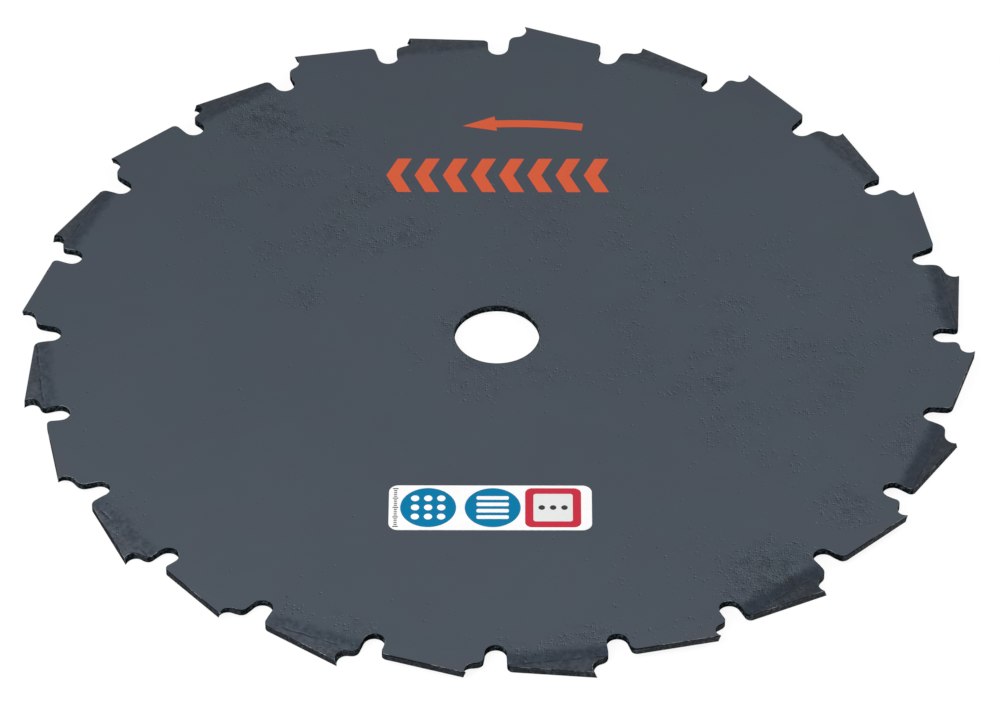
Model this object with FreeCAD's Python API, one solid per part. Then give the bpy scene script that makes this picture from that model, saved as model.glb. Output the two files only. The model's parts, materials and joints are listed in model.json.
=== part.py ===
import FreeCAD, Part
import math
import os

from FreeCAD import Vector

# Round brush cutter blade with chisel teeth, stamped from one steel plate.
# Origin: centre of the bore, at mid thickness. +Z is up, towards the printed face.
# Seen from above the blade turns counter-clockwise. All sizes in mm and degrees.

# Plate
tip_diameter = 225.0        # circle through the tooth tips, at mid thickness
bore_diameter = 20.0        # arbor bore
plate_thickness = 1.8
tooth_count = 24            # even, so that the set alternates all the way round

# Gullet, the round-bottomed slot between two teeth
gullet_width = 4.9
gullet_depth = 9.7          # tip circle down to the bottom of the slot
face_wall_lean = 6.9        # the wall under the cutting face opens outwards
heel_wall_lean = 1.9        # the wall behind the heel opens a little too

# Shoulder, the sloping step between the gullet wall and the cutting face
shoulder_depth = 3.85       # tip circle down to the shoulder, at the gullet wall
shoulder_slope = 10.7       # the shoulder rises towards the face
shoulder_radius = 1.75      # rounding from the gullet wall to the shoulder

# Cutting face, hollowed by a round file that is held at a bevel
tip_offset = 6.9            # gullet centre line to the tip, at mid thickness
file_radius = 2.25
file_bevel = 14.0           # the face leads on the side that the tooth is set to
file_bite = 0.05            # the file cuts this far below the shoulder
blank_stock = 0.6           # what the stamped blank has in front of the tip, for filing

# Back of the tooth
back_slope = 15.2           # relief of the straight back behind the tip
heel_radius = 1.4           # rounding from the back to the gullet wall

# Set: each tooth is bent out of the plate along a straight fold, up and down in turn
fold_height = 1.2           # bottom of the gullets out to the start of the fold
fold_radius = 12.0          # at mid thickness
set_angle = 9.8             # slope of the tooth beyond the fold
crease_distance = 2.0       # end of the fold out to the crease left by the setting punch
crease_angle = 6.5          # slope of the tooth beyond the crease

tip_radius = tip_diameter / 2
gullet_radius = gullet_width / 2
half_thickness = plate_thickness / 2
gullet_floor = tip_radius - gullet_depth
pitch = 360.0 / tooth_count
reach = tip_diameter        # longer than any part of the blade, for cutting bodies
rounding_share = 0.95       # most of a wall that a rounding may take up

# Line of the bend at mid thickness: distances from the centre, and how far the tooth has risen there
fold_start = gullet_floor + fold_height
fold_end = fold_start + fold_radius * math.sin(math.radians(set_angle))
fold_rise = fold_radius * (1 - math.cos(math.radians(set_angle)))
crease = fold_end + crease_distance
crease_rise = fold_rise + crease_distance * math.tan(math.radians(set_angle))


def toward(angle):
    """Unit vector in the plate's plane, turned clockwise from +Y."""
    return Vector(math.sin(math.radians(angle)), math.cos(math.radians(angle)), 0)


def turned(point, angle):
    """Point turned clockwise about the blade's centre."""
    return FreeCAD.Rotation(Vector(0, 0, 1), -angle).multVec(point)


def crossing(start, direction, other, other_direction):
    """Where two straight lines in the plate's plane cross."""
    gap = other - start
    return start + direction * (gap.cross(other_direction).z / direction.cross(other_direction).z)


def rounded_corner(corner, way_in, way_out, radius, room):
    """First point, middle and last point of an arc that rounds a corner."""
    half_turn = way_in.getAngle(way_out) / 2
    back_off = min(radius * math.tan(half_turn), room)
    used_radius = back_off / math.tan(half_turn)
    inward = (way_out - way_in).normalize()
    first = corner - way_in * back_off
    last = corner + way_out * back_off
    middle = corner + inward * (used_radius / math.cos(half_turn) - used_radius)
    return first, middle, last


def arc(first, middle, last):
    return Part.Arc(first, middle, last).toShape()


def tooth_layout():
    """Lines of the shoulder, face and back that both the stamped blank and the file follow."""
    lead_centre = Vector(0, gullet_floor + gullet_radius, 0)
    lead_wall = lead_centre + toward(90 + face_wall_lean) * gullet_radius
    lead_way = toward(face_wall_lean)

    # Shoulder: a line that meets the gullet wall at its own depth below the tip circle
    shoulder_height = tip_radius - shoulder_depth
    shoulder_corner = lead_wall + lead_way * ((shoulder_height - lead_wall.y) / lead_way.y)
    shoulder_way = toward(90 - shoulder_slope)
    shoulder_up = toward(-shoulder_slope)

    # File: it rests in the shoulder and passes through the tip. Its cut is an ellipse, wider by the bevel.
    tip = Vector(tip_offset, math.sqrt(tip_radius**2 - tip_offset**2), 0)
    to_tip = tip - shoulder_corner
    axis_height = file_radius - file_bite
    above_axis = to_tip.dot(shoulder_up) - axis_height
    half_chord = math.sqrt(file_radius**2 - above_axis**2) / math.cos(math.radians(file_bevel))
    run = to_tip.dot(shoulder_way) - half_chord
    face_foot = shoulder_corner + shoulder_way * run

    tip_bearing = math.degrees(math.atan2(tip.x, tip.y))
    return {
        "lead_centre": lead_centre,
        "lead_wall": lead_wall,
        "lead_way": lead_way,
        "shoulder_corner": shoulder_corner,
        "shoulder_way": shoulder_way,
        "face_foot": face_foot,
        "file_centre": face_foot + shoulder_up * axis_height,
        "tip": tip,
        "back_way": toward(tip_bearing + 90 + back_slope),
    }


def tooth_edges(layout):
    """Edges of one stamped pitch, clockwise from the bottom of one gullet to the bottom of the next.

    The leading gullet is centred on +Y and the tooth lies clockwise of it. Its face is still straight.
    """
    lead_centre = layout["lead_centre"]
    lead_wall = layout["lead_wall"]
    lead_way = layout["lead_way"]
    lead_bottom = Vector(0, gullet_floor, 0)
    shoulder_corner = layout["shoulder_corner"]
    shoulder_way = layout["shoulder_way"]
    face_foot = layout["face_foot"]
    back_way = layout["back_way"]
    blank_tip = layout["tip"] - back_way * blank_stock

    # Back: a straight line from the tip to the wall of the trailing gullet
    trail_centre = turned(lead_centre, pitch)
    trail_bottom = turned(lead_bottom, pitch)
    trail_wall = trail_centre + toward(pitch - 90 - heel_wall_lean) * gullet_radius
    trail_way = toward(pitch - heel_wall_lean)
    heel_corner = crossing(blank_tip, back_way, trail_wall, trail_way)

    bite_reach = math.sqrt(2 * file_radius * file_bite) + half_thickness * math.tan(math.radians(file_bevel))
    shoulder_room = ((face_foot - shoulder_corner).Length - bite_reach) * rounding_share
    shoulder = rounded_corner(shoulder_corner, lead_way, shoulder_way, shoulder_radius, shoulder_room)
    heel_room = (heel_corner - trail_wall).Length * rounding_share
    heel = rounded_corner(heel_corner, back_way, -trail_way, heel_radius, heel_room)
    lead_middle = lead_centre + toward(180 - (90 - face_wall_lean) / 2) * gullet_radius
    trail_middle = trail_centre + toward(pitch - 180 + (90 - heel_wall_lean) / 2) * gullet_radius

    return [
        arc(lead_bottom, lead_middle, lead_wall),
        Part.makeLine(lead_wall, shoulder[0]),
        arc(*shoulder),
        Part.makeLine(shoulder[2], face_foot),
        Part.makeLine(face_foot, blank_tip),
        Part.makeLine(blank_tip, heel[0]),
        arc(*heel),
        Part.makeLine(heel[2], trail_wall),
        arc(trail_wall, trail_middle, trail_bottom),
    ]


def tooth_prism(layout):
    """One pitch of the outline, closed to the centre, as a tall prism along Z."""
    edges = tooth_edges(layout)
    start = edges[0].Vertexes[0].Point
    end = edges[-1].Vertexes[-1].Point
    sides = [Part.makeLine(end, Vector(0, 0, 0)), Part.makeLine(Vector(0, 0, 0), start)]
    face = Part.Face(Part.Wire(Part.__sortEdges__(edges + sides)))
    face.translate(Vector(0, 0, -reach / 2))
    return face.extrude(Vector(0, 0, reach))


def tooth_rise(along):
    """How far the tooth has risen at mid thickness, beyond the crease."""
    return crease_rise + (along - crease) * math.tan(math.radians(crease_angle))


def slope_point(along, height, slope, offset):
    """Point at an offset square to a surface that rises outwards at a slope."""
    tilt = math.radians(slope)
    return Vector(0, along - offset * math.sin(tilt), height + offset * math.cos(tilt))


def bent_side(offset):
    """Edges of one side of the bent plate in the YZ plane, from the centre outwards."""
    half_slope = math.radians(set_angle) / 2
    fold_middle = fold_start + fold_radius * math.sin(half_slope)
    middle_rise = fold_radius * (1 - math.cos(half_slope))
    outer_end = tip_radius + plate_thickness
    mitre_slope = (set_angle + crease_angle) / 2
    mitre_offset = offset / math.cos(math.radians(set_angle - crease_angle) / 2)

    inner = Vector(0, 0, offset)
    start = Vector(0, fold_start, offset)
    middle = slope_point(fold_middle, middle_rise, set_angle / 2, offset)
    end = slope_point(fold_end, fold_rise, set_angle, offset)
    corner = slope_point(crease, crease_rise, mitre_slope, mitre_offset)
    outer = slope_point(outer_end, tooth_rise(outer_end), crease_angle, offset)
    return [
        Part.makeLine(inner, start),
        arc(start, middle, end),
        Part.makeLine(end, corner),
        Part.makeLine(corner, outer),
    ]


def set_slab(way):
    """Plate bent at the fold and the crease, running along X. way is +1 for up, -1 for down."""
    upper = bent_side(half_thickness)
    lower = bent_side(-half_thickness)
    inner_end = Part.makeLine(upper[0].Vertexes[0].Point, lower[0].Vertexes[0].Point)
    outer_end = Part.makeLine(upper[-1].Vertexes[-1].Point, lower[-1].Vertexes[-1].Point)
    section = Part.Face(Part.Wire(Part.__sortEdges__(upper + lower + [inner_end, outer_end])))
    section.translate(Vector(-reach / 2, 0, 0))
    slab = section.extrude(Vector(reach, 0, 0))
    return slab if way > 0 else slab.mirror(Vector(0, 0, 0), Vector(0, 0, 1))


def face_file(layout, way):
    """Round file at work in the face. Its upper end leans forward on a tooth set up, back on one set down."""
    bevel = math.radians(file_bevel)
    axis = Vector(0, 0, math.cos(bevel)) - layout["shoulder_way"] * (way * math.sin(bevel))
    tip_along = layout["tip"].dot(toward(pitch / 2))
    centre = layout["file_centre"] + Vector(0, 0, way * tooth_rise(tip_along))
    length = plate_thickness * 4
    return Part.makeCylinder(file_radius, length, centre - axis * (length / 2), axis)


def set_tooth(way):
    """One pitch of the finished blade, its tooth set up or down and its face filed."""
    layout = tooth_layout()
    slab = set_slab(way)
    slab.rotate(Vector(0, 0, 0), Vector(0, 0, 1), -pitch / 2)
    return tooth_prism(layout).common(slab).cut(face_file(layout, way))


def make_blade():
    pitches = []
    for index in range(tooth_count):
        tooth = set_tooth(-1 if index % 2 else 1)
        tooth.rotate(Vector(0, 0, 0), Vector(0, 0, 1), index * pitch)
        pitches.append(tooth)
    plate = pitches[0].fuse(pitches[1:])
    bore = Part.makeCylinder(bore_diameter / 2, plate_thickness * 2, Vector(0, 0, -plate_thickness))
    return plate.cut(bore).removeSplitter()


os.makedirs("parts", exist_ok=True)
blade = make_blade()
solid = blade.Solids[0]
solid.exportStep("parts/blade.step")
print("blade: solids", len(blade.Solids), "faces", len(solid.Faces), "volume", round(solid.Volume, 1))
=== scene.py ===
import json
import math

import bmesh
import bpy
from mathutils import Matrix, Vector


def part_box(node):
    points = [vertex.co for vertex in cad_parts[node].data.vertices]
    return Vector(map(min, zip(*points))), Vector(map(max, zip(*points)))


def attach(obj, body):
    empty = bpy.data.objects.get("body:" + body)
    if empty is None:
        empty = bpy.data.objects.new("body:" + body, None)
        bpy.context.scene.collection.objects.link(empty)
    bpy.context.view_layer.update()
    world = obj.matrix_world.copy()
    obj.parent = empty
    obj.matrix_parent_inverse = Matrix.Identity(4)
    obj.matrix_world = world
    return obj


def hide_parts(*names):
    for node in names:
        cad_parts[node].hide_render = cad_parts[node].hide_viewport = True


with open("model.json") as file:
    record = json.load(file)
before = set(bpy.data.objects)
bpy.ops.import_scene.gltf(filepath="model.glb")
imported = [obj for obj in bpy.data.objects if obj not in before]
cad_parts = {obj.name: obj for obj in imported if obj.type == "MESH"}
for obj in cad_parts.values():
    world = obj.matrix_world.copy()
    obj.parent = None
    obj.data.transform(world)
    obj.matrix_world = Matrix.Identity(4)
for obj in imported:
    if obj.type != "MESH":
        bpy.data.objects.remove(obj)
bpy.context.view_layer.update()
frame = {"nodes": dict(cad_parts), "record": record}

# Brush cutter blade with 24 chisel teeth, lying flat with its printed face up.
# Metres throughout; a size in millimetres is multiplied by mm.
mm = 0.001
bladeNode = frame["nodes"]["blade"]
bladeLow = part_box("blade")[0]
mounts = {mount["name"]: mount for mount in frame["record"]["mounts"]}
plateTop = mounts["upper_clamp_face"]["pos_m"][2]
boreRadius = min(vertex.co.xy.length for vertex in bladeNode.data.vertices)
tipRadius = max(vertex.co.xy.length for vertex in bladeNode.data.vertices)

teeth = {
    "count": 24,
    "foldStart": tipRadius - 8.59 * mm,    # along the middle of the tooth
    "foldEnd": tipRadius - 6.55 * mm,
    "crease": tipRadius - 4.55 * mm,       # left by the setting punch
    "foldSlope": math.radians(9.8),
}
toothPitch = 2 * math.pi / teeth["count"]
untinted = (1, 1, 1, 1)
softEdge = (0.3, 0.7)         # cloud levels between which one tone blends softly into another
print("frame: tip radius", round(tipRadius / mm, 2), "mm, plate top", round(plateTop / mm, 2), "mm")


# Small helpers for node trees

def feed(tree, socket, value):
    if isinstance(value, bpy.types.NodeSocket):
        tree.links.new(value, socket)
    else:
        socket.default_value = value


def calc(tree, operation, *values):
    node = tree.nodes.new("ShaderNodeMath")
    node.operation = operation
    for socket, value in zip(node.inputs, values):
        feed(tree, socket, value)
    return node.outputs["Value"]


def vectorCalc(tree, operation, *values):
    node = tree.nodes.new("ShaderNodeVectorMath")
    node.operation = operation
    for socket, value in zip(node.inputs, values):
        feed(tree, socket, value)
    return node.outputs["Value" if operation in ("DISTANCE", "LENGTH") else "Vector"]


# Goes smoothly from one value to another while the input goes from low to high
def ease(tree, value, low, high, start=0.0, end=1.0):
    node = tree.nodes.new("ShaderNodeMapRange")
    node.interpolation_type = "SMOOTHSTEP"
    for name, number in (("Value", value), ("From Min", low), ("From Max", high)):
        feed(tree, node.inputs[name], number)
    feed(tree, node.inputs["To Min"], start)
    feed(tree, node.inputs["To Max"], end)
    return node.outputs["Result"]


# Clouds of chance values round 0.5; another seed gives another pattern
def cloud(tree, place, size, detail=2.0, seed=0.0):
    node = tree.nodes.new("ShaderNodeTexNoise")
    node.noise_dimensions = "4D"
    feed(tree, node.inputs["Vector"], place)
    node.inputs["Scale"].default_value = 1 / size
    node.inputs["Detail"].default_value = detail
    node.inputs["W"].default_value = seed
    return node.outputs["Fac"]


# Patches with one value outside and another inside, which blend between two levels of the clouds
def patches(tree, place, size, levels, values=(0.0, 1.0), detail=2.0, seed=0.0):
    return ease(tree, cloud(tree, place, size, detail, seed), *levels, *values)


# A value that wanders to both sides of a middle one
def wandering(tree, place, size, reach, detail=2.0, seed=0.0, middle=0.0):
    level = cloud(tree, place, size, detail, seed)
    return calc(tree, "MULTIPLY_ADD", level, 2 * reach, middle - reach)


def stretched(tree, place, scale):
    node = tree.nodes.new("ShaderNodeMapping")
    feed(tree, node.inputs["Vector"], place)
    node.inputs["Scale"].default_value = scale
    return node.outputs["Vector"]


def opaque(colour):
    return (*colour, 1)


def scaled(tree, colour, amount):
    node = tree.nodes.new("ShaderNodeVectorMath")
    node.operation = "SCALE"
    feed(tree, node.inputs[0], colour)
    feed(tree, node.inputs["Scale"], amount)
    return node.outputs["Vector"]


def tinted(tree, colour, tint):
    return vectorCalc(tree, "MULTIPLY", colour, tint)


def mixed(tree, amount, under, over):
    node = tree.nodes.new("ShaderNodeMix")
    node.data_type = "RGBA"
    feed(tree, node.inputs[0], amount)
    feed(tree, node.inputs[6], under)
    feed(tree, node.inputs[7], over)
    return node.outputs[2]


def bumped(tree, height, depth, strength):
    node = tree.nodes.new("ShaderNodeBump")
    feed(tree, node.inputs["Height"], height)
    node.inputs["Distance"].default_value = depth
    node.inputs["Strength"].default_value = strength
    return node.outputs["Normal"]


# A new surface: its material, node tree, shader and object coordinates
def newSurface(name, look):
    material = bpy.data.materials.new(name)
    material.use_nodes = True
    tree = material.node_tree
    shader = tree.nodes["Principled BSDF"]
    shader.inputs["Base Color"].default_value = opaque(look["colour"])
    shader.inputs["Roughness"].default_value = look["roughness"]
    shader.inputs["Specular IOR Level"].default_value = look["shine"]
    material.diffuse_color = opaque(look["colour"])
    coordinates = tree.nodes.new("ShaderNodeTexCoord")
    return material, tree, shader, coordinates


# Where a point lies: its bearing, its way out along its tooth, 1 on a tooth set up and 0 on one set
# down, and its height
def toothPlace(tree, place):
    split = tree.nodes.new("ShaderNodeSeparateXYZ")
    feed(tree, split.inputs["Vector"], place)
    x, y = split.outputs["X"], split.outputs["Y"]
    turn = calc(tree, "ARCTAN2", y, x)
    index = calc(tree, "FLOOR", calc(tree, "DIVIDE", turn, toothPitch))
    middle = calc(tree, "MULTIPLY", calc(tree, "ADD", index, 0.5), toothPitch)
    cosine = calc(tree, "COSINE", middle)
    sine = calc(tree, "SINE", middle)
    outward = calc(tree, "ADD", calc(tree, "MULTIPLY", x, cosine), calc(tree, "MULTIPLY", y, sine))
    setUp = calc(tree, "FLOORED_MODULO", index, 2.0)
    return turn, outward, setUp, split.outputs["Z"]


# A level that rises and falls round the blade, with a number of waves that peak at a bearing
def wavy(tree, level, turn, number, amount, bearing):
    angle = calc(tree, "MULTIPLY_ADD", turn, number, -number * bearing)
    return calc(tree, "MULTIPLY_ADD", calc(tree, "COSINE", angle), amount, level)


# Blade faces: matt blue-grey oxide with fine pits, and darker where the setting punch struck; with
# painted highlights beside the pits, painted shade and highlight along the creases, and painted shade
# that changes round the blade

oxideLook = {
    "colour": (0.0521, 0.0663, 0.0855),
    "roughness": 0.56,
    "shine": 0.2,
    "coolTint": (0.0508, 0.0669, 0.0852),
    "warmTint": (0.0534, 0.0657, 0.0858),
    "tintPatch": 14 * mm,
    "tintLevels": (0.35, 0.65),
    "blotch": 45 * mm,
    "blotchTones": (0.975, 1.025),
    "grain": 0.14 * mm,
    "grainLevels": (0.2, 0.8),
    "grainTones": (0.98, 1.02),
    "grainHeight": 0.2,                      # as a share of the pits' depth
    "glossPatch": 6 * mm,
    "glossReach": 0.04,                      # how far the roughness strays in such patches
    "struckTint": (0.20, 0.28, 0.36),        # between the fold and the crease, at full strength
    "wedgeTint": (0.25, 0.28, 0.31),         # beyond the crease
    "struckStrength": 0.74,
    "wedgeStrength": 0.57,
    "oneWave": (0.23, math.radians(25)),     # painted light and shade: how the strength varies round the blade
    "twoWaves": (0.245, math.radians(-46)),
    "struckMargins": (0.3 * mm, 0.2 * mm),   # past the fold's start and end, where the tint sets in
    "wedgeMargins": (0.2 * mm, 0.6 * mm),    # before and after the crease, where it changes
    "struckPolish": 0.06,                    # how much smoother the struck metal is
    "ragged": 1.6 * mm,                      # waves of the struck zone's inner edge
    "raggedReach": 1.3 * mm,
    "smudge": 2.4 * mm,                      # patches of more and less strength
    "smudgeReach": 0.10,
    "mottle": 1.1 * mm,                      # uneven tone of the struck metal
    "mottleTones": (0.68, 1.30),
    "temperTint": (1.10, 1.00, 0.98),        # warm patches towards the tips
    "temperPatch": 3.5 * mm,
    "temperLevels": (0.35, 0.6),
    "temperMargins": (1.0 * mm, 2.5 * mm),   # before and after the crease, where they set in
    # Painted shade and painted highlight along the crease
    "creaseTone": 0.2,
    "creaseWidth": 0.26 * mm,
    "creaseWaves": 2.2 * mm,
    "creaseReach": 0.5 * mm,                 # how far its waves stray
    "creaseGaps": 2.6 * mm,
    "creaseGapLevels": (0.46, 0.54),
    "creaseGleam": 1.5,                      # painted highlight: the light line along its inner side
    "gleamOffset": 0.416 * mm,
    "boreRingTone": 0.35,                    # dark ring along the bore's edge
    "boreRing": 0.32 * mm,
}
pitPlan = {
    "spacing": 0.50 * mm,
    "patch": 9 * mm,
    "patchEdge": (0.42, 0.66),        # cloud levels between clear and pitted
    "clump": 2.5 * mm,                # closer and looser spots in a cluster
    "clumpEdge": (0.35, 0.6),
    "clumpShares": (0.35, 1.0),
    "ragged": 0.28 * mm,              # how far the pits' outlines stray from round
    "scarce": 0.002,                  # share of places with a pit where they are few
    "dense": 0.45,                    # and where they are many
    # Pitted places: x, y and reach in mm, and how densely each is pitted
    "fields": (                       # broad and loose
        (-44, 46, 40, 0.62),
        (62, -6, 56, 0.60),
        (0, -2, 28, 0.90),
        (22, 36, 36, 0.50),
        (42, -84, 26, 0.25),
    ),
    "clusters": (                     # small and close
        (-58, 78, 12, 2.00),
        (-49, 73, 7, 1.30),
        (-40, 71, 7, 1.35),
        (-33, 50, 7, 1.35),
        (-21, 36, 9, 1.15),
        (-32, 31, 7, 0.90),
        (-46, 13, 7, 1.00),
        (58, 10, 6, 1.00),
        (52, -15, 8, 1.05),
        (69, -5, 8, 0.80),
        (63, -82, 17, 1.90),
        (80, -58, 10, 1.10),
    ),
    "core": 0.25,                     # share of a place's reach that is pitted fully
    "stray": 8 * mm,                  # how far its edge wanders
    "foldShare": 0.50,                # close to a struck fold, as a share of the dense
    "foldWave": (0.60, math.radians(-35)),
    "foldReach": (8.0 * mm, 2.0 * mm),    # before the fold, where they begin and where they are full
    "struckShare": 0.4,               # what is left of the loose pits in the struck zone
    "wedgeShare": 0.8,                # and beyond the crease
    "sizes": (0.24, 0.66),            # of a pit, as a share of the spacing
    "flatShare": 0.4,                 # of a pit's reach that is at full depth
    "faintest": 0.4,                  # strength of the faintest pit
    # The pits' own dark colour with painted shade in them, and a painted highlight on each pit's lit
    # side
    "darkTint": (0.005, 0.030, 0.065),
    "litColour": (0.160, 0.198, 0.235),
    "litShare": 0.56,
    "litSide": (-0.20 * mm, -0.26 * mm, 0.0),    # painted highlight: from a pit's lit side to its dark one
    "smear": 2.0 * mm,                # soft dark blotches among the pits
    "smearEdge": (0.42, 0.62),
    "smearTint": (0.46, 0.50, 0.535),
    "depth": 0.025 * mm,
}


# The densest of the pitted places at a point, 0 outside all of them
def placesAt(tree, place, places, wander, core):
    level = 0.0
    for x, y, reach, amount in places:
        gap = vectorCalc(tree, "DISTANCE", place, (x * mm, y * mm, plateTop))
        away = calc(tree, "ADD", gap, wander)
        inside = ease(tree, away, reach * core * mm, reach * mm, amount, 0.0)
        level = calc(tree, "MAXIMUM", inside, level)
    return level


# How densely a point is pitted: loose patches in the fields and by the folds, and close clusters
def pitShare(tree, place, nearFold, spared, plan):
    wander = wandering(tree, place, plan["stray"], plan["stray"] / 2, detail=3.0, seed=21.0)
    fields = placesAt(tree, place, plan["fields"], wander, plan["core"])
    clusters = placesAt(tree, place, plan["clusters"], wander, plan["core"])
    patch = patches(tree, place, plan["patch"], plan["patchEdge"], detail=3.0, seed=3.0)
    loose = calc(tree, "MULTIPLY", patch, calc(tree, "MAXIMUM", fields, nearFold))
    loose = calc(tree, "MULTIPLY", loose, spared)
    clump = patches(tree, place, plan["clump"], plan["clumpEdge"], plan["clumpShares"], seed=23.0)
    amount = calc(tree, "MAXIMUM", loose, calc(tree, "MULTIPLY", clusters, clump))
    return calc(tree, "MULTIPLY_ADD", amount, plan["dense"] - plan["scarce"], plan["scarce"])


# Tiny round pits at chance places, 1 at the middle of each
def pits(tree, place, share, plan, shift):
    stray = tree.nodes.new("ShaderNodeTexNoise")
    feed(tree, stray.inputs["Vector"], place)
    stray.inputs["Scale"].default_value = 1 / plan["spacing"]
    moved = vectorCalc(tree, "ADD", place, shift)
    strayed = vectorCalc(tree, "MULTIPLY_ADD", stray.outputs["Color"], (plan["ragged"],) * 3, moved)
    cells = tree.nodes.new("ShaderNodeTexVoronoi")
    cells.voronoi_dimensions = "2D"
    feed(tree, cells.inputs["Vector"], strayed)
    cells.inputs["Scale"].default_value = 1 / plan["spacing"]
    chance = tree.nodes.new("ShaderNodeSeparateColor")
    feed(tree, chance.inputs["Color"], cells.outputs["Color"])
    present = calc(tree, "LESS_THAN", chance.outputs["Red"], share)
    smallest, largest = plan["sizes"]
    size = calc(tree, "MULTIPLY_ADD", chance.outputs["Green"], largest - smallest, smallest)
    flat = calc(tree, "MULTIPLY", size, plan["flatShare"])
    dot = ease(tree, cells.outputs["Distance"], flat, size, 1.0, 0.0)
    faintest = plan["faintest"]
    force = calc(tree, "MULTIPLY_ADD", chance.outputs["Blue"], 1 - faintest, faintest)
    return calc(tree, "MULTIPLY", calc(tree, "MULTIPLY", dot, force), present)


# Crease left by the punch: a thin line of painted shade with a painted highlight inside it, broken here
# and there
def creaseTones(tree, place, outward, look):
    waver = wandering(tree, place, look["creaseWaves"], look["creaseReach"], detail=3.0, seed=4.0)
    fromLine = calc(tree, "SUBTRACT", calc(tree, "ADD", outward, waver), teeth["crease"])
    fromHighlight = calc(tree, "ADD", fromLine, look["gleamOffset"])
    broken = patches(tree, place, look["creaseGaps"], look["creaseGapLevels"], seed=9.0)
    tones = []
    for away, tone in ((fromLine, look["creaseTone"]), (fromHighlight, look["creaseGleam"])):
        line = ease(tree, calc(tree, "ABSOLUTE", away), 0.0, look["creaseWidth"], 1.0, 0.0)
        line = calc(tree, "MULTIPLY", line, broken)
        tones.append(calc(tree, "MULTIPLY_ADD", line, tone - 1, 1.0))
    return calc(tree, "MULTIPLY", *tones)


# Where the punch struck: the tint of the metal with painted shade and highlights in it, 1 in the struck
# zone, and 1 in the wedge past it
def struckZone(tree, place, turn, outward, struckSide, look):
    ragged = wandering(tree, place, look["ragged"], look["raggedReach"], detail=3.0, seed=5.0)
    before, after = look["struckMargins"]
    edge = calc(tree, "ADD", outward, ragged)
    struck = ease(tree, edge, teeth["foldStart"] - before, teeth["foldEnd"] + after)
    struck = calc(tree, "MULTIPLY", struck, struckSide)
    before, after = look["wedgeMargins"]
    wedge = ease(tree, outward, teeth["crease"] - before, teeth["crease"] + after)
    tint = mixed(tree, wedge, opaque(look["struckTint"]), opaque(look["wedgeTint"]))

    less = look["wedgeStrength"] - look["struckStrength"]
    strength = calc(tree, "MULTIPLY_ADD", wedge, less, look["struckStrength"])
    # Painted light and shade: the strength rises and falls round the blade with the side that the light
    # falls on
    strength = wavy(tree, strength, turn, 1, *look["oneWave"])
    strength = wavy(tree, strength, turn, 2, *look["twoWaves"])
    reach = look["smudgeReach"]
    smudge = patches(tree, place, look["smudge"], softEdge, (-reach, reach), detail=3.0, seed=8.0)
    tint = mixed(tree, calc(tree, "ADD", strength, smudge), untinted, tint)

    mottle = patches(tree, place, look["mottle"], softEdge, look["mottleTones"], detail=3.0, seed=13.0)
    tint = scaled(tree, tint, calc(tree, "MULTIPLY", mottle, creaseTones(tree, place, outward, look)))
    tint = mixed(tree, struck, untinted, tint)
    tipWarmth = patches(tree, place, look["temperPatch"], look["temperLevels"], seed=15.0)
    before, after = look["temperMargins"]
    outside = ease(tree, outward, teeth["crease"] - before, teeth["crease"] + after)
    tipWarmth = calc(tree, "MULTIPLY", tipWarmth, outside)
    tint = tinted(tree, tint, mixed(tree, tipWarmth, untinted, opaque(look["temperTint"])))
    return tint, struck, wedge


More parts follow.
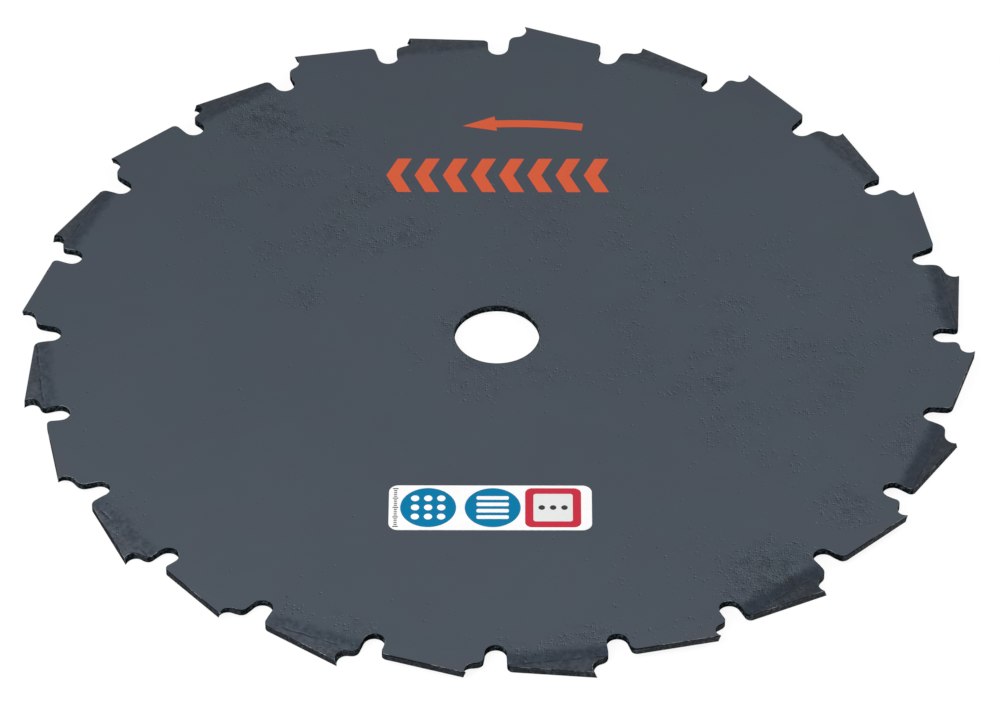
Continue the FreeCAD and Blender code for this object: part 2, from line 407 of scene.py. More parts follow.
def makeOxide(look):
    material, tree, shader, coordinates = newSurface("blueGreyOxide", look)
    place = coordinates.outputs["Object"]
    turn, outward, setUp = toothPlace(tree, place)[:3]
    facing = tree.nodes.new("ShaderNodeSeparateXYZ")
    feed(tree, facing.inputs["Vector"], coordinates.outputs["Normal"])
    upper = calc(tree, "GREATER_THAN", facing.outputs["Z"], 0.0)
    struckSide = calc(tree, "ABSOLUTE", calc(tree, "SUBTRACT", upper, setUp))
    zone, struck, wedge = struckZone(tree, place, turn, outward, struckSide, look)

    # Pits, closer by the struck folds and fewer in the struck zone
    farthest, nearest = pitPlan["foldReach"]
    nearFold = ease(tree, outward, teeth["foldStart"] - farthest, teeth["foldStart"] - nearest)
    foldShare = wavy(tree, pitPlan["foldShare"], turn, 1, *pitPlan["foldWave"])
    nearFold = calc(tree, "MULTIPLY", calc(tree, "MULTIPLY", nearFold, foldShare), struckSide)
    more = pitPlan["wedgeShare"] - pitPlan["struckShare"]
    fewer = calc(tree, "MULTIPLY_ADD", wedge, more, pitPlan["struckShare"] - 1)
    spared = calc(tree, "MULTIPLY_ADD", struck, fewer, 1.0)
    share = pitShare(tree, place, nearFold, spared, pitPlan)
    # Dark pits with painted shade in them, and painted highlights: the same pits moved toward their lit
    # side
    darkPits = pits(tree, place, share, pitPlan, (0.0, 0.0, 0.0))
    pitHighlights = pits(tree, place, share, pitPlan, pitPlan["litSide"])
    smear = patches(tree, place, pitPlan["smear"], pitPlan["smearEdge"], detail=3.0, seed=17.0)
    smear = calc(tree, "MULTIPLY", smear, share)
    smeared = mixed(tree, smear, untinted, opaque(pitPlan["smearTint"]))
    pitted = mixed(tree, darkPits, untinted, opaque(pitPlan["darkTint"]))

    # Uneven coating: soft blotches, fine grain and faint tints; and a dark ring along the bore's edge
    blotch = patches(tree, place, look["blotch"], softEdge, look["blotchTones"], detail=3.0, seed=1.0)
    grain = cloud(tree, place, look["grain"], seed=2.0)
    tone = calc(tree, "MULTIPLY", blotch, ease(tree, grain, *look["grainLevels"], *look["grainTones"]))
    fromMiddle = vectorCalc(tree, "LENGTH", tinted(tree, place, (1, 1, 0)))
    fromBore = calc(tree, "SUBTRACT", fromMiddle, boreRadius)
    ring = ease(tree, fromBore, look["boreRing"] * 0.5, look["boreRing"], look["boreRingTone"], 1.0)
    tone = calc(tree, "MULTIPLY", tone, ring)
    tintPatch = patches(tree, place, look["tintPatch"], look["tintLevels"], seed=7.0)
    colour = mixed(tree, tintPatch, opaque(look["coolTint"]), opaque(look["warmTint"]))
    # Painted highlights on the pits' lit side
    lit = calc(tree, "MULTIPLY", pitHighlights, pitPlan["litShare"])
    colour = mixed(tree, lit, colour, opaque(pitPlan["litColour"]))
    colour = tinted(tree, tinted(tree, colour, smeared), pitted)
    feed(tree, shader.inputs["Base Color"], tinted(tree, scaled(tree, colour, tone), zone))

    polish = calc(tree, "MULTIPLY_ADD", struck, -look["struckPolish"], look["roughness"])
    gloss = wandering(tree, place, look["glossPatch"], look["glossReach"], detail=3.0, seed=4.0)
    feed(tree, shader.inputs["Roughness"], calc(tree, "ADD", polish, gloss))
    relief = calc(tree, "SUBTRACT", calc(tree, "MULTIPLY", grain, look["grainHeight"]), darkPits)
    feed(tree, shader.inputs["Normal"], bumped(tree, relief, pitPlan["depth"], strength=0.5))
    return material


# Cut walls: near black, with upright shear streaks and a torn lower band

shearPlan = {
    "slopeFrom": 1.0 * mm,            # past the fold's start, where a wall begins to follow its tooth
    "slopeShare": 0.85,               # of the fold's slope, because the crease takes some of it back
    "stretch": (1, 1, 0.12),          # draws the streaks out upright
    "streakTones": (0.78, 1.25),
    "speckLevels": (0.46, 0.72),
    "waves": 1.5 * mm,                # of the line between shear and tear
    "wavesReach": 0.25 * mm,
    "lineBlend": 0.1 * mm,
    "lineWidth": 0.14 * mm,
    "lineTone": 0.62,
    "shearTone": 1.06,
    "tearTone": 0.90,
    "tearGrain": 0.3 * mm,
    "topBand": (0.42 * mm, 0.72 * mm),    # above mid thickness, where the upper edge's tone sets in
    "towardX": (-0.1, 0.95),          # cosines of the bearing, between which the painted shade fades out
    "depth": 0.04 * mm,
}
wallLook = {
    "colour": (0.0086, 0.0126, 0.0150),
    "roughness": 0.7,
    "shine": 0.0,
    "streak": 0.28 * mm,
    "speck": 0.6 * mm,
    "mottle": (0.55, 6.5),            # darkest and lightest tone of its specks
    "awayTint": (1.0, 1.0, 1.0),      # painted shade on the side away from +X
    "topTones": (0.8, 0.8),           # along the upper edge, on a tooth set down and on one set up
    "breakHeight": -0.15 * mm,        # above mid thickness, where the shear turns to a tear
}
backLook = {
    "colour": (0.0590, 0.0646, 0.0700),
    "roughness": 0.6,
    "shine": 0.0,
    "streak": 0.45 * mm,
    "speck": 0.6 * mm,
    "mottle": (0.8, 1.9),
    "awayTint": (0.476, 0.50, 0.54),  # painted shade: the backs are darker and bluer there
    "topTones": (0.8, 0.25),
    "breakHeight": 0.05 * mm,
}


def makeCutWall(name, look, shear):
    material, tree, shader, coordinates = newSurface(name, look)
    place = coordinates.outputs["Object"]
    turn, outward, setUp, height = toothPlace(tree, place)
    # Height above the middle of the plate, which follows the set of the tooth
    slopeStart = teeth["foldStart"] + shear["slopeFrom"]
    past = calc(tree, "MAXIMUM", calc(tree, "SUBTRACT", outward, slopeStart), 0.0)
    rise = calc(tree, "MULTIPLY", past, math.tan(teeth["foldSlope"] * shear["slopeShare"]))
    way = calc(tree, "MULTIPLY_ADD", setUp, 2.0, -1.0)
    local = calc(tree, "SUBTRACT", height, calc(tree, "MULTIPLY", rise, way))

    # Line where the shear turns to a tear
    waver = wandering(tree, place, shear["waves"], shear["wavesReach"], seed=2.0)
    level = calc(tree, "ADD", local, waver)
    line, blend = look["breakHeight"], shear["lineBlend"]
    torn = ease(tree, level, line - blend, line + blend, 1.0, 0.0)
    fromLine = calc(tree, "ABSOLUTE", calc(tree, "SUBTRACT", level, line))
    seam = ease(tree, fromLine, 0.0, shear["lineWidth"], shear["lineTone"], 1.0)

    upright = stretched(tree, place, shear["stretch"])
    streaks = cloud(tree, upright, look["streak"], detail=3.0, seed=1.0)
    tone = ease(tree, streaks, *softEdge, *shear["streakTones"])
    specks = patches(tree, place, look["speck"], shear["speckLevels"], look["mottle"], seed=11.0)
    lowTone, highTone = look["topTones"]
    topTone = calc(tree, "MULTIPLY_ADD", setUp, highTone - lowTone, lowTone)
    top = ease(tree, local, *shear["topBand"], 1.0, topTone)
    shearTone, tearTone = shear["shearTone"], shear["tearTone"]
    tearing = calc(tree, "MULTIPLY_ADD", torn, tearTone - shearTone, shearTone)
    for part in (specks, top, seam, tearing):
        tone = calc(tree, "MULTIPLY", tone, part)
    # Painted shade: darker on the side of the blade away from +X
    toward = ease(tree, calc(tree, "COSINE", turn), *shear["towardX"])
    tint = mixed(tree, toward, opaque(look["awayTint"]), untinted)
    feed(tree, shader.inputs["Base Color"], tinted(tree, scaled(tree, look["colour"], tone), tint))
    rough = cloud(tree, place, shear["tearGrain"], detail=3.0, seed=6.0)
    relief = calc(tree, "ADD", streaks, calc(tree, "MULTIPLY", torn, rough))
    feed(tree, shader.inputs["Normal"], bumped(tree, relief, shear["depth"], strength=0.5))
    return material


# Broken edges: near black, which paints the shade along them, and the steel shows through where the
# coating is rubbed thin here and there

rimLook = {
    # Painted shade: the near-black colour of the broken edges
    "colour": (0.010, 0.013, 0.015),
    "roughness": 0.5,
    "shine": 0.0,
    "rubbed": (0.34, 0.37, 0.39),
    "wornPatch": 5 * mm,
    "wornLevels": (0.48, 0.58),
    "fleck": 0.5 * mm,
    "fleckLevels": (0.30, 0.55),
}


def makeRim(look):
    material, tree, shader, coordinates = newSurface("rubbedEdge", look)
    place = coordinates.outputs["Object"]
    worn = patches(tree, place, look["wornPatch"], look["wornLevels"], detail=4.0, seed=1.0)
    fleck = patches(tree, place, look["fleck"], look["fleckLevels"], seed=2.0)
    amount = calc(tree, "MULTIPLY", worn, fleck)
    colour = mixed(tree, amount, opaque(look["colour"]), opaque(look["rubbed"]))
    feed(tree, shader.inputs["Base Color"], colour)
    return material


# The plain mesh of an object with its modifiers applied
def appliedMesh(draft):
    graph = bpy.context.evaluated_depsgraph_get()
    return bpy.data.meshes.new_from_object(draft.evaluated_get(graph))


# Blade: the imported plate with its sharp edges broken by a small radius

bladePlan = {
    "edgeBreak": 0.06 * mm,
    "edgeAngle": math.radians(30),
    "edgeSegments": 2,
    "mergeGap": 0.001 * mm,
    "flatAngle": math.radians(0.3),       # edges that bend less than this are taken out
    "flatWeight": 100,                    # keeps the shading of large faces flat
    "backFrom": tipRadius - 6.0 * mm,     # a back lies outside this radius and faces outward
    "backFacing": 0.8,
    "faceSlope": 0.9,                     # an upper or lower face points at least this far up or down
}
faceSlot, wallSlot, backSlot, rimSlot = range(4)


def slotOf(polygon, plan):
    if polygon.material_index == rimSlot:
        return rimSlot
    if abs(polygon.normal.z) > plan["faceSlope"]:
        return faceSlot
    flat = polygon.center.xy
    outward = polygon.normal.xy.dot(flat.normalized())
    if flat.length > plan["backFrom"] and outward > plan["backFacing"]:
        return backSlot
    return wallSlot


def makeBlade(plan):
    shell = bmesh.new()
    shell.from_mesh(bladeNode.data)
    bmesh.ops.remove_doubles(shell, verts=shell.verts, dist=plan["mergeGap"])
    bmesh.ops.dissolve_limit(shell, angle_limit=plan["flatAngle"], verts=shell.verts, edges=shell.edges)
    for face in shell.faces:
        face.material_index = faceSlot
        face.smooth = True
    mesh = bpy.data.meshes.new("bladeDraft")
    shell.to_mesh(mesh)
    shell.free()
    mesh.materials.append(makeOxide(oxideLook))
    mesh.materials.append(makeCutWall("shearedWall", wallLook, shearPlan))
    mesh.materials.append(makeCutWall("filedBack", backLook, shearPlan))
    mesh.materials.append(makeRim(rimLook))

    draft = bpy.data.objects.new("bladeDraft", mesh)
    bpy.context.scene.collection.objects.link(draft)
    bevel = draft.modifiers.new("edgeBreak", "BEVEL")
    bevel.limit_method = "ANGLE"
    bevel.angle_limit = plan["edgeAngle"]
    bevel.width = plan["edgeBreak"]
    bevel.segments = plan["edgeSegments"]
    bevel.material = rimSlot
    weighted = draft.modifiers.new("flatFaces", "WEIGHTED_NORMAL")
    weighted.mode = "FACE_AREA"
    weighted.weight = plan["flatWeight"]
    finished = appliedMesh(draft)
    bpy.data.objects.remove(draft)
    for polygon in finished.polygons:
        polygon.material_index = slotOf(polygon, plan)
    return finished


# Adds a mesh to the scene as a piece of the object
def addPiece(name, mesh):
    mesh.name = name
    piece = bpy.data.objects.new(name, mesh)
    bpy.context.scene.collection.objects.link(piece)
    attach(piece, "root")
    return piece


bladePiece = addPiece("blade_steel", makeBlade(bladePlan))
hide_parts("blade")
print("blade:", len(bladePiece.data.polygons), "faces")


# Flat closed shapes for ink and film, as outlines raised between two heights

def roundedBox(width, height, radius, steps=6, centre=(0, 0)):
    points = []
    for turn, (sideX, sideY) in enumerate(((1, 1), (-1, 1), (-1, -1), (1, -1))):
        cornerX = centre[0] + sideX * (width / 2 - radius)
        cornerY = centre[1] + sideY * (height / 2 - radius)
        for step in range(steps + 1):
            angle = math.pi / 2 * (turn + step / steps)
            points.append((cornerX + radius * math.cos(angle), cornerY + radius * math.sin(angle)))
    return points


def roundDisc(radius, steps=48, centre=(0, 0)):
    angles = [2 * math.pi * step / steps for step in range(steps)]
    return [(centre[0] + radius * math.cos(a), centre[1] + radius * math.sin(a)) for a in angles]


def raised(outlines, low, high):
    solid = bmesh.new()
    for outline in outlines:
        lower = [solid.verts.new((x, y, low)) for x, y in outline]
        upper = [solid.verts.new((x, y, high)) for x, y in outline]
        solid.faces.new(upper)
        solid.faces.new(lower[::-1])
        for here, (a, b) in enumerate(zip(lower, lower[1:] + lower[:1])):
            after = (here + 1) % len(outline)
            solid.faces.new((a, b, upper[after], upper[here]))
    mesh = bpy.data.meshes.new("raised")
    solid.to_mesh(mesh)
    solid.free()
    return mesh


# Geometry Nodes: one mark repeated in columns and rows, some of them long and the rest short

def newTree(name, inputs):
    tree = bpy.data.node_groups.new(name, "GeometryNodeTree")
    tree.interface.new_socket("Geometry", in_out="INPUT", socket_type="NodeSocketGeometry")
    for label, kind, value in inputs:
        socket = tree.interface.new_socket(label, in_out="INPUT", socket_type="NodeSocket" + kind)
        if value is not None:
            socket.default_value = value
    tree.interface.new_socket("Geometry", in_out="OUTPUT", socket_type="NodeSocketGeometry")
    return tree, tree.nodes.new("NodeGroupInput").outputs, tree.nodes.new("NodeGroupOutput").inputs


def makeMarkGridTree():
    tree, given, result = newTree("markGrid", (
        ("Columns", "Int", 1),
        ("Rows", "Int", 1),
        ("Column Step", "Vector", (0.01, 0, 0)),
        ("Row Step", "Vector", (0, 0.01, 0)),
        ("Start", "Vector", (0, 0, 0)),
        ("Long Every", "Int", 1),
        ("Short Size", "Vector", (1, 1, 1)),
        ("Ink", "Material", None),
    ))
    column = tree.nodes.new("GeometryNodeMeshLine")
    feed(tree, column.inputs["Count"], given["Rows"])
    feed(tree, column.inputs["Start Location"], given["Start"])
    feed(tree, column.inputs["Offset"], given["Row Step"])
    row = tree.nodes.new("GeometryNodeMeshLine")
    feed(tree, row.inputs["Count"], given["Columns"])
    feed(tree, row.inputs["Offset"], given["Column Step"])
    rows = tree.nodes.new("GeometryNodeInstanceOnPoints")
    feed(tree, rows.inputs["Points"], column.outputs["Mesh"])
    feed(tree, rows.inputs["Instance"], row.outputs["Mesh"])
    grid = tree.nodes.new("GeometryNodeRealizeInstances")
    feed(tree, grid.inputs["Geometry"], rows.outputs["Instances"])

    # Every so many marks one is long, and those between are short
    index = tree.nodes.new("GeometryNodeInputIndex")
    rest = calc(tree, "FLOORED_MODULO", index.outputs["Index"], given["Long Every"])
    short = calc(tree, "GREATER_THAN", rest, 0.5)
    size = tree.nodes.new("ShaderNodeMix")
    size.data_type = "VECTOR"
    feed(tree, size.inputs[0], short)
    feed(tree, size.inputs[4], (1, 1, 1))
    feed(tree, size.inputs[5], given["Short Size"])
    marks = tree.nodes.new("GeometryNodeInstanceOnPoints")
    feed(tree, marks.inputs["Points"], grid.outputs["Geometry"])
    feed(tree, marks.inputs["Instance"], given["Geometry"])
    feed(tree, marks.inputs["Scale"], size.outputs[1])
    solid = tree.nodes.new("GeometryNodeRealizeInstances")
    feed(tree, solid.inputs["Geometry"], marks.outputs["Instances"])
    ink = tree.nodes.new("GeometryNodeSetMaterial")
    feed(tree, ink.inputs["Geometry"], solid.outputs["Geometry"])
    feed(tree, ink.inputs["Material"], given["Ink"])
    feed(tree, result["Geometry"], ink.outputs["Geometry"])
    return tree


# Geometry Nodes: a flat band of ink that follows an arc
def makeArcBandTree():
    tree, given, result = newTree("arcBand", (
        ("Centre", "Vector", (0, 0, 0)),
        ("Radius", "Float", 0.1),
        ("Start Angle", "Float", 0.0),
        ("Sweep Angle", "Float", 0.2),
        ("Width", "Float", 0.003),
        ("Thickness", "Float", 0.00004),
        ("Steps", "Int", 24),
        ("Ink", "Material", None),
    ))
    arc = tree.nodes.new("GeometryNodeCurveArc")
    feed(tree, arc.inputs["Resolution"], given["Steps"])
    feed(tree, arc.inputs["Radius"], given["Radius"])
    feed(tree, arc.inputs["Start Angle"], given["Start Angle"])
    feed(tree, arc.inputs["Sweep Angle"], given["Sweep Angle"])
    placed = tree.nodes.new("GeometryNodeTransform")
    feed(tree, placed.inputs["Geometry"], arc.outputs["Curve"])
    feed(tree, placed.inputs["Translation"], given["Centre"])
    section = tree.nodes.new("GeometryNodeCurvePrimitiveQuadrilateral")
    feed(tree, section.inputs["Width"], given["Width"])
    feed(tree, section.inputs["Height"], given["Thickness"])
    band = tree.nodes.new("GeometryNodeCurveToMesh")
    feed(tree, band.inputs["Curve"], placed.outputs["Geometry"])
    feed(tree, band.inputs["Profile Curve"], section.outputs["Curve"])
    band.inputs["Fill Caps"].default_value = True
    solid = tree.nodes.new("GeometryNodeRealizeInstances")
    feed(tree, solid.inputs["Geometry"], band.outputs["Mesh"])
    ink = tree.nodes.new("GeometryNodeSetMaterial")
    feed(tree, ink.inputs["Geometry"], solid.outputs["Geometry"])
    feed(tree, ink.inputs["Material"], given["Ink"])
    feed(tree, result["Geometry"], ink.outputs["Geometry"])
    return tree


# Runs a tree on a mesh and returns the plain mesh that it makes
def grow(mesh, tree, settings):
    carrier = bpy.data.objects.new("carrier", mesh)
    bpy.context.scene.collection.objects.link(carrier)
    modifier = carrier.modifiers.new(tree.name, "NODES")
    modifier.node_group = tree
    for item in tree.interface.items_tree:
        if item.in_out == "INPUT" and item.name in settings:
            modifier[item.identifier] = settings[item.name]
    carrier.update_tag()
    made = appliedMesh(carrier)
    carrier.modifiers.remove(modifier)
    bpy.data.objects.remove(carrier)
    return made


# Joins meshes into one and points its faces outward
def joined(meshes):
    whole = bmesh.new()
    materials = []
    for mesh in meshes:
        ink = mesh.materials[mesh.polygons[0].material_index]
        if ink not in materials:
            materials.append(ink)
        first = len(whole.faces)
        whole.from_mesh(mesh)
        whole.faces.ensure_lookup_table()
        for face in whole.faces[first:]:
            face.material_index = materials.index(ink)
            face.smooth = False
    bmesh.ops.remove_doubles(whole, verts=whole.verts, dist=0.0005 * mm)
    bmesh.ops.recalc_face_normals(whole, faces=whole.faces)
    mesh = bpy.data.meshes.new("joined")
    whole.to_mesh(mesh)
    whole.free()
    for material in materials:
        mesh.materials.append(material)
    return mesh


def inked(mesh, material):
    mesh.materials.append(material)
    return mesh


# Print inks and label film

inkLooks = {
    "orangeInk": {"colour": (0.710, 0.110, 0.040), "roughness": 0.55, "shine": 0.2},
    "blueInk": {"colour": (0.000, 0.190, 0.380), "roughness": 0.5, "shine": 0.08},
    "redInk": {"colour": (0.575, 0.026, 0.055), "roughness": 0.45, "shine": 0.12},
    "whiteFilm": {"colour": (0.97, 0.97, 0.97), "roughness": 0.4, "shine": 0.25},
    "greyInk": {"colour": (0.80, 0.81, 0.80), "roughness": 0.4, "shine": 0.25},
    "darkInk": {"colour": (0.020, 0.022, 0.028), "roughness": 0.4, "shine": 0.25},
}
inkWear = {
    "patch": 5 * mm,
    "fleck": 0.4 * mm,
    "fleckLevels": (0.3, 0.75),
    "thin": 0.95,             # tone where the ink is thinnest
    "glossPatch": 1.2 * mm,
    "glossReach": 0.05,
    "depth": 0.01 * mm,
}


def makeInk(name, look):
    material, tree, shader, coordinates = newSurface(name, look)
    place = coordinates.outputs["Object"]
    patch = patches(tree, place, inkWear["patch"], softEdge, detail=3.0, seed=1.0)
    fleck = patches(tree, place, inkWear["fleck"], inkWear["fleckLevels"], seed=2.0)
    tone = calc(tree, "MULTIPLY_ADD", calc(tree, "MULTIPLY", patch, fleck), inkWear["thin"] - 1, 1.0)
    feed(tree, shader.inputs["Base Color"], scaled(tree, look["colour"], tone))
    size, reach = inkWear["glossPatch"], inkWear["glossReach"]
    gloss = wandering(tree, place, size, reach, detail=3.0, seed=4.0, middle=look["roughness"])
    feed(tree, shader.inputs["Roughness"], gloss)
    feed(tree, shader.inputs["Normal"], bumped(tree, fleck, inkWear["depth"], strength=0.2))
    return material


inks = {name: makeInk(name, look) for name, look in inkLooks.items()}
markGrid = makeMarkGridTree()
arcBand = makeArcBandTree()


# Printed arrow that shows which way the blade turns

arrowPlan = {
    "arcRadius": 100 * mm,
    "arcCentre": (4.6 * mm, -23.6 * mm),
    "shaftFrom": -1.2 * mm,        # x of the shaft's ends, left and right
    "shaftTo": 20.7 * mm,
    "shaftWidth": 2.6 * mm,
    "shaftSteps": 24,
    "headTip": (-8.6 * mm, 75.5 * mm),
    "headBack": ((-0.8 * mm, 79.1 * mm), (-0.2 * mm, 73.7 * mm)),
    "headLift": 0.004 * mm,        # keeps the head's faces off the shaft's
    "inkDepth": 0.03 * mm,
    "inkSunk": 0.01 * mm,
}


def makeArrow(plan):
    centreX, centreY = plan["arcCentre"]
    startAngle = math.acos((plan["shaftTo"] - centreX) / plan["arcRadius"])
    endAngle = math.acos((plan["shaftFrom"] - centreX) / plan["arcRadius"])
    low, high = plateTop - plan["inkSunk"], plateTop + plan["inkDepth"]
    shaft = grow(bpy.data.meshes.new("shaft"), arcBand, {
        "Centre": (centreX, centreY, (low + high) / 2),
        "Radius": plan["arcRadius"],
        "Start Angle": startAngle,
        "Sweep Angle": endAngle - startAngle,
        "Width": plan["shaftWidth"],
        "Thickness": high - low,
        "Steps": plan["shaftSteps"],
        "Ink": inks["orangeInk"],
    })
    upperBack, lowerBack = plan["headBack"]
    corners = [plan["headTip"], lowerBack, upperBack]
    head = raised([corners], low + plan["headLift"], high + plan["headLift"])
    return joined([shaft, inked(head, inks["orangeInk"])])


arrowPiece = addPiece("turning_arrow", makeArrow(arrowPlan))
print("arrow:", len(arrowPiece.data.polygons), "faces")


# Row of chevrons that point the way the blade turns

chevronPlan = {
    "count": 8,
    "left": -27 * mm,
    "right": 27 * mm,
    "middle": 57.1 * mm,
    "height": 12.3 * mm,
    "stroke": 3.4 * mm,
    "depth": 2.7 * mm,       # point of a chevron ahead of its ends
    "inkDepth": 0.03 * mm,
    "inkSunk": 0.01 * mm,
}


def makeChevrons(plan):
    half, stroke, depth = plan["height"] / 2, plan["stroke"], plan["depth"]
    outline = [
        (0, 0),
        (depth, -half),
        (depth + stroke, -half),
        (stroke, 0),
        (depth + stroke, half),
        (depth, half),
    ]
    mark = raised([outline], plateTop - plan["inkSunk"], plateTop + plan["inkDepth"])
    step = (plan["right"] - plan["left"] - depth - stroke) / (plan["count"] - 1)
    return grow(mark, markGrid, {
        "Columns": plan["count"],
        "Rows": 1,
        "Column Step": (step, 0.0, 0.0),
        "Start": (plan["left"], plan["middle"], 0.0),
        "Ink": inks["orangeInk"],
    })


chevronPiece = addPiece("chevron_row", joined([makeChevrons(chevronPlan)]))
print("chevrons:", len(chevronPiece.data.polygons), "faces")


# Label: white film with plain printed fields

labelPlan = {
    "centre": (-1.37 * mm, -58.8 * mm),
    "size": (46.5 * mm, 14.6 * mm),
    "corner": 2.2 * mm,
    "filmDepth": 0.10 * mm,
    "inkDepth": 0.03 * mm,
    "sunk": 0.01 * mm,               # how far each layer dips into the one below it
    "dotField": (-15.6 * mm, -58.8 * mm),
    "barField": (-0.83 * mm, -58.8 * mm),
    "fieldRadius": 6.4 * mm,
    "dotRows": 3,
    "dotRadius": 0.95 * mm,
    "dotStep": 3.0 * mm,
    "barCount": 4,
    "barSize": (7.4 * mm, 1.15 * mm),
    "barCorner": 0.4 * mm,
    "barStep": 2.1 * mm,
    "frame": (13.0 * mm, -58.8 * mm),
    "frameSize": 12.8 * mm,
    "frameBorder": 1.9 * mm,
    "frameCorners": (1.6 * mm, 0.6 * mm),    # outer and inner
    "darkCount": 3,
    "darkRadius": 0.75 * mm,
    "darkStep": 2.6 * mm,
    "scale": -23.1 * mm,             # x of the scale's ticks
    "scaleReach": 12.4 * mm,
    "tickCount": 21,
    "tickSize": (1.3 * mm, 0.28 * mm),
    "tickCorner": 0.08 * mm,
    "longEvery": 5,
    "shortShare": 0.55,              # length of a short tick as a share of a long one's
}


def makeLabel(plan):
    width, height = plan["size"]
    filmTop = plateTop + plan["filmDepth"]
    inkTop = filmTop + plan["inkDepth"]
    overTop = inkTop + plan["inkDepth"]
    sunk = plan["sunk"]
    outline = roundedBox(width, height, plan["corner"], steps=8, centre=plan["centre"])
    parts = [inked(raised([outline], plateTop - sunk, filmTop), inks["whiteFilm"])]

    # Blue fields with white dots and white bars
    middles = (plan["dotField"], plan["barField"])
    fields = [roundDisc(plan["fieldRadius"], steps=72, centre=middle) for middle in middles]
    parts.append(inked(raised(fields, filmTop - sunk, inkTop), inks["blueInk"]))
    dot = raised([roundDisc(plan["dotRadius"], steps=24)], inkTop - sunk, overTop)
    dotX, dotY = plan["dotField"]
    dotStep = plan["dotStep"]
    dotReach = dotStep * (plan["dotRows"] - 1) / 2
    parts.append(grow(dot, markGrid, {
        "Columns": plan["dotRows"],
        "Rows": plan["dotRows"],
        "Column Step": (dotStep, 0.0, 0.0),
        "Row Step": (0.0, dotStep, 0.0),
        "Start": (dotX - dotReach, dotY - dotReach, 0.0),
        "Ink": inks["whiteFilm"],
    }))
    bar = raised([roundedBox(*plan["barSize"], plan["barCorner"])], inkTop - sunk, overTop)
    barX, barY = plan["barField"]
    barStep = plan["barStep"]
    parts.append(grow(bar, markGrid, {
        "Columns": 1,
        "Rows": plan["barCount"],
        "Row Step": (0.0, barStep, 0.0),
        "Start": (barX, barY - barStep * (plan["barCount"] - 1) / 2, 0.0),
        "Ink": inks["whiteFilm"],
    }))

    # Red frame round a grey field with three dark dots
    outer = plan["frameSize"]
    inner = outer - 2 * plan["frameBorder"]
    outerCorner, innerCorner = plan["frameCorners"]
    frameBox = roundedBox(outer, outer, outerCorner, centre=plan["frame"])
    fieldBox = roundedBox(inner, inner, innerCorner, centre=plan["frame"])
    parts.append(inked(raised([frameBox], filmTop - sunk, inkTop), inks["redInk"]))
    parts.append(inked(raised([fieldBox], inkTop - sunk, overTop), inks["greyInk"]))
    dark = raised([roundDisc(plan["darkRadius"], steps=24)], overTop - sunk, overTop + plan["inkDepth"])
    frameX, frameY = plan["frame"]
    darkStep = plan["darkStep"]
    parts.append(grow(dark, markGrid, {
        "Columns": plan["darkCount"],
        "Rows": 1,
        "Column Step": (darkStep, 0.0, 0.0),
        "Start": (frameX - darkStep * (plan["darkCount"] - 1) / 2, frameY, 0.0),
        "Ink": inks["darkInk"],
    }))

    # Scale of fine ticks up the left edge, long ones among short ones
    tickStep = plan["scaleReach"] / (plan["tickCount"] - 1)
    tick = raised([roundedBox(*plan["tickSize"], plan["tickCorner"], steps=2)], filmTop - sunk, inkTop)
    parts.append(grow(tick, markGrid, {
        "Columns": 1,
        "Rows": plan["tickCount"],
        "Row Step": (0.0, tickStep, 0.0),
        "Start": (plan["scale"], plan["centre"][1] - plan["scaleReach"] / 2, 0.0),
        "Long Every": plan["longEvery"],
        "Short Size": (plan["shortShare"], 1.0, 1.0),
        "Ink": inks["darkInk"],
    }))
    return joined(parts)


labelPiece = addPiece("printed_label", makeLabel(labelPlan))
print("label:", len(labelPiece.data.polygons), "faces")


# Floor, world and lamps: plain, pale and soft

studio = {
    "floorHalf": 2.5,
    "floorShade": 0.8,        # what the floor gives back to the blade
    "floorGlow": 0.90,        # with floorPale it shows white, and keeps a soft shadow
    "floorPale": 0.14,
    "skyLevel": 0.30,
    "lamps": (
        {"name": "keyLamp", "place": (-0.22, -0.30, 0.33), "size": 0.30, "share": 0.45},
        {"name": "fillLamp", "place": (0.45, 0.10, 0.48), "size": 0.35, "share": 0.27},
    ),
}


# 1 for a ray from the camera or a mirror or glass, which sees the plain white backdrop
def plainRay(tree):
    path = tree.nodes.new("ShaderNodeLightPath")
    mirror = calc(tree, "MAXIMUM", path.outputs["Is Glossy Ray"], path.outputs["Is Transmission Ray"])
    return calc(tree, "MAXIMUM", path.outputs["Is Camera Ray"], mirror)


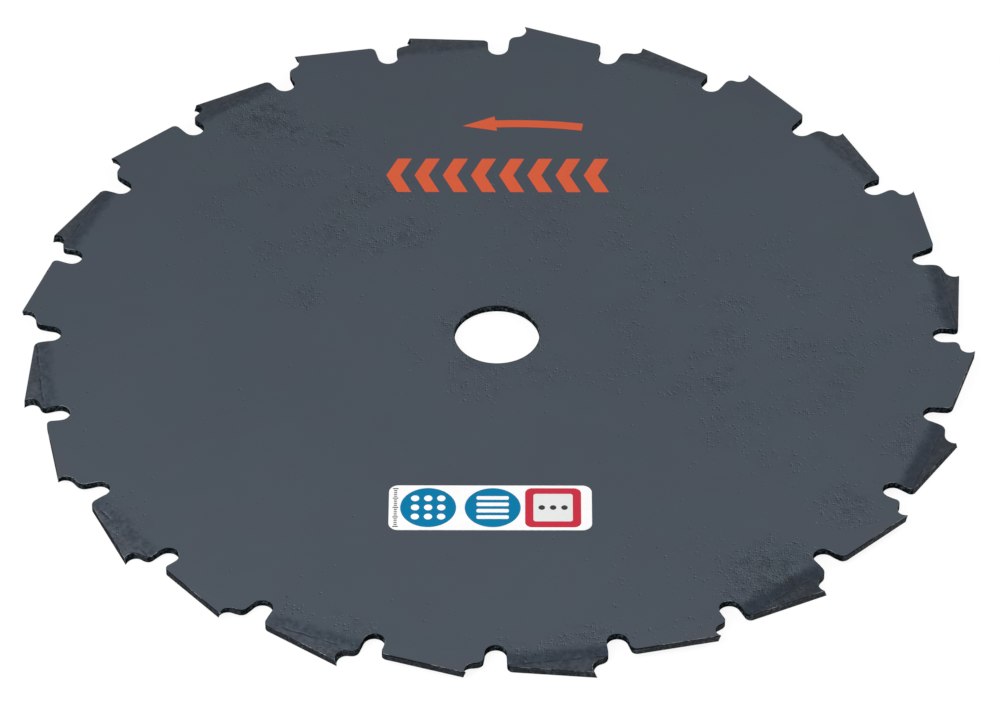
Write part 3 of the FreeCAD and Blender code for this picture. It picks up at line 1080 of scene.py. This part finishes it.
def makeFloor():
    half = studio["floorHalf"]
    mesh = bpy.data.meshes.new("floor")
    corners = [(-half, -half), (half, -half), (half, half), (-half, half)]
    mesh.from_pydata([(x, y, bladeLow.z) for x, y in corners], [], [(0, 1, 2, 3)])
    material = bpy.data.materials.new("paleFloor")
    material.use_nodes = True
    tree = material.node_tree
    tree.nodes.remove(tree.nodes["Principled BSDF"])
    plain = tree.nodes.new("ShaderNodeBsdfDiffuse")
    plain.inputs["Color"].default_value = opaque([studio["floorShade"]] * 3)
    pale = tree.nodes.new("ShaderNodeBsdfDiffuse")
    pale.inputs["Color"].default_value = opaque([studio["floorPale"]] * 3)
    glow = tree.nodes.new("ShaderNodeEmission")
    glow.inputs["Strength"].default_value = studio["floorGlow"]
    shown = tree.nodes.new("ShaderNodeAddShader")
    feed(tree, shown.inputs[0], pale.outputs["BSDF"])
    feed(tree, shown.inputs[1], glow.outputs["Emission"])
    choice = tree.nodes.new("ShaderNodeMixShader")
    feed(tree, choice.inputs["Fac"], plainRay(tree))
    feed(tree, choice.inputs[1], plain.outputs["BSDF"])
    feed(tree, choice.inputs[2], shown.outputs["Shader"])
    feed(tree, tree.nodes["Material Output"].inputs["Surface"], choice.outputs["Shader"])
    mesh.materials.append(material)
    floor = bpy.data.objects.new("floor", mesh)
    bpy.context.scene.collection.objects.link(floor)


def makeWorld():
    world = bpy.data.worlds.new("paleStudio")
    world.use_nodes = True
    tree = world.node_tree
    level = calc(tree, "MULTIPLY_ADD", plainRay(tree), 1 - studio["skyLevel"], studio["skyLevel"])
    background = tree.nodes["Background"]
    background.inputs["Color"].default_value = untinted
    feed(tree, background.inputs["Strength"], level)
    bpy.context.scene.world = world


# A lamp's share is how bright it makes a white card that lies at the blade's centre
def makeLamp(plan):
    place = Vector(plan["place"])
    steepness = place.z / place.length
    light = bpy.data.lights.new(plan["name"], "AREA")
    light.size = plan["size"]
    light.energy = plan["share"] * math.pi ** 2 * place.length_squared / steepness
    lamp = bpy.data.objects.new(plan["name"], light)
    lamp.location = place
    lamp.visible_camera = False
    lamp.rotation_euler = place.to_track_quat("Z", "Y").to_euler()
    bpy.context.scene.collection.objects.link(lamp)


makeFloor()
makeWorld()
for lampPlan in studio["lamps"]:
    makeLamp(lampPlan)
print("studio: floor, world and", len(studio["lamps"]), "lamps")


# Camera, from the photograph's viewing angle

cameraPlan = {
    "azimuth": math.radians(0.129),       # round from the front, to the right
    "elevation": math.radians(42.703),
    "distance": 1440.5 * mm,
    "target": (0.727 * mm, -6.376 * mm, 0.0),
    "lens": 220.48,
    "sensor": 36.0,
    "clip": (0.01, 20.0),
}


def makeCamera(plan):
    turn, rise = plan["azimuth"], plan["elevation"]
    back = Vector((math.sin(turn) * math.cos(rise), -math.cos(turn) * math.cos(rise), math.sin(rise)))
    lens = bpy.data.cameras.new("camera")
    lens.lens = plan["lens"]
    lens.sensor_width = plan["sensor"]
    lens.clip_start, lens.clip_end = plan["clip"]
    camera = bpy.data.objects.new("camera", lens)
    camera.location = Vector(plan["target"]) + back * plan["distance"]
    camera.rotation_euler = back.to_track_quat("Z", "Y").to_euler()
    bpy.context.scene.collection.objects.link(camera)
    bpy.context.scene.camera = camera


makeCamera(cameraPlan)
bpy.context.scene.view_settings.view_transform = "Standard"
